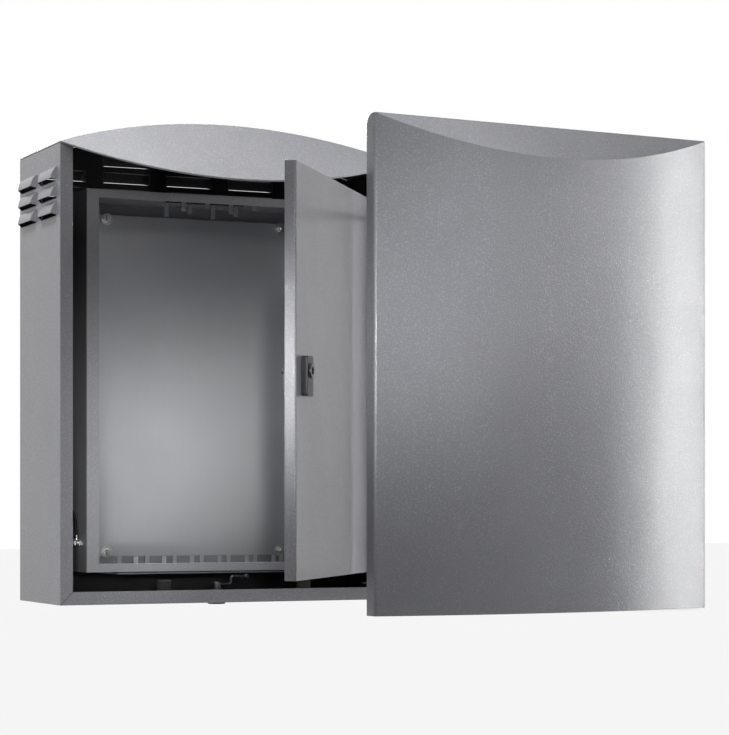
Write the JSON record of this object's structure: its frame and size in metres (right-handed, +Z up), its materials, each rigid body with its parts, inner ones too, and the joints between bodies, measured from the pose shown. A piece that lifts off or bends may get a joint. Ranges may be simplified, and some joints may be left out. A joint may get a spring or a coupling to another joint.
{
  "type": "wall and pole mount outdoor enclosure",
  "caption": "Double-skinned outdoor enclosure: louvred housing with arched roof and bowed front cover on swing arms, around a sealed inner box with hinged door and mounting plate.",
  "frame": {"origin": "centre of the wall-fixing hole pattern, on the back face of the two rear rails", "axes": "+X to the right seen from the front, +Y to the back towards the wall or pole, +Z up"},
  "size_m": [0.9106, 0.8161, 0.753],
  "materials": {
    "outdoor_grey_paint": "fine textured powder coat, satin",
    "box_grey_paint": "satin powder coat",
    "seal_rubber": "foamed, matt",
    "zinc_sheet": "zinc coated, dull",
    "stainless": "rolled stainless, satin",
    "zinc_fastener": "bright zinc",
    "lock_black": "satin black",
    "lead_black": "flexible insulation"
  },
  "bodies": {
    "enclosure": {"housing_shell": "outdoor_grey_paint", "roof_panel": "outdoor_grey_paint", "cable_entry_plate": "outdoor_grey_paint", "entry_plate_screws": "zinc_fastener", "rear_rail_upper": "zinc_sheet", "rear_rail_lower": "zinc_sheet", "rail_bolts": "zinc_fastener", "pole_band_upper": "stainless", "pole_band_lower": "stainless", "band_screws": "stainless", "inner_enclosure_body": "box_grey_paint", "enclosure_spacers": "zinc_sheet", "enclosure_bolts": "zinc_fastener", "mounting_plate": "zinc_sheet", "plate_studs": "zinc_fastener", "plate_nuts": "zinc_fastener", "gland_plate_floor": "box_grey_paint", "gland_gasket_floor": "seal_rubber", "gland_clips_floor": "zinc_sheet", "gland_plate_ceiling": "box_grey_paint", "gland_gasket_ceiling": "seal_rubber", "gland_clips_ceiling": "zinc_sheet", "hinge_box_leaves": "zinc_sheet", "hinge_pins": "zinc_fastener", "earth_studs": "zinc_fastener", "earth_lead": "lead_black", "cover_lock_body": "zinc_fastener", "cover_lock_nut": "zinc_fastener", "arm_bracket_lower": "outdoor_grey_paint", "arm_bracket_upper": "outdoor_grey_paint", "bracket_rivets": "zinc_fastener", "link_pin": "zinc_fastener", "arm_buffers": "seal_rubber"},
    "swing_arm": {"swing_shaft": "zinc_fastener", "swing_arm_lower": "zinc_fastener", "swing_arm_upper": "zinc_fastener"},
    "link": {"link_arm": "zinc_fastener"},
    "cover": {"cover_shell": "outdoor_grey_paint", "cover_stiffeners": "outdoor_grey_paint", "cover_bracket_lower": "outdoor_grey_paint", "cover_bracket_upper": "outdoor_grey_paint", "cover_pins": "zinc_fastener", "cover_keeper": "outdoor_grey_paint"},
    "cover_lock": {"cover_lock_cam": "zinc_fastener"},
    "inner_door": {"inner_door_shell": "outdoor_grey_paint", "inner_door_gasket": "seal_rubber", "hinge_door_leaves": "zinc_sheet", "inner_lock_case": "lock_black", "inner_lock_nut": "zinc_fastener"},
    "inner_lock": {"inner_lock_barrel": "zinc_fastener", "inner_lock_cam": "zinc_fastener"}
  },
  "joints": [
    {"name": "cover_swing", "type": "hinge", "parent": "enclosure", "child": "swing_arm", "pos_m": [0.245, -0.239, 0], "axis": [0, 0, 1], "range_deg": [-82.5, 10]},
    {"name": "cover_pivot", "type": "hinge", "parent": "swing_arm", "child": "cover", "pos_m": [0.1954, -0.61575, 0], "axis": [0, 0, 1], "range_deg": [-9.6, 79.1]},
    {"name": "link_swing", "type": "hinge", "parent": "enclosure", "child": "link", "pos_m": [0.265, -0.253, 0], "axis": [0, 0, 1], "range_deg": [-82.5, 10]},
    {"name": "inner_door_hinge", "type": "hinge", "parent": "enclosure", "child": "inner_door", "pos_m": [0.242, -0.209, 0], "axis": [0, 0, 1], "range_deg": [-51.5, 6.3]},
    {"name": "inner_lock_turn", "type": "hinge", "parent": "inner_door", "child": "inner_lock", "pos_m": [-0.02456, -0.55536, -0.0065], "axis": [-0.7826, 0.6225, 0], "range_deg": [0, 90]},
    {"name": "cover_lock_turn", "type": "hinge", "parent": "enclosure", "child": "cover_lock", "pos_m": [-0.019, -0.199, -0.35], "axis": [0, 0, 1], "range_deg": [-90, 0]}
  ],
  "couplings": [
    {"joint": "cover_pivot", "follows": "cover_swing", "ratio": -0.95758},
    {"joint": "link_swing", "follows": "cover_swing", "ratio": 0.9996},
    {"joint": "inner_door_hinge", "follows": "cover_swing", "ratio": 0.62424}
  ]
}
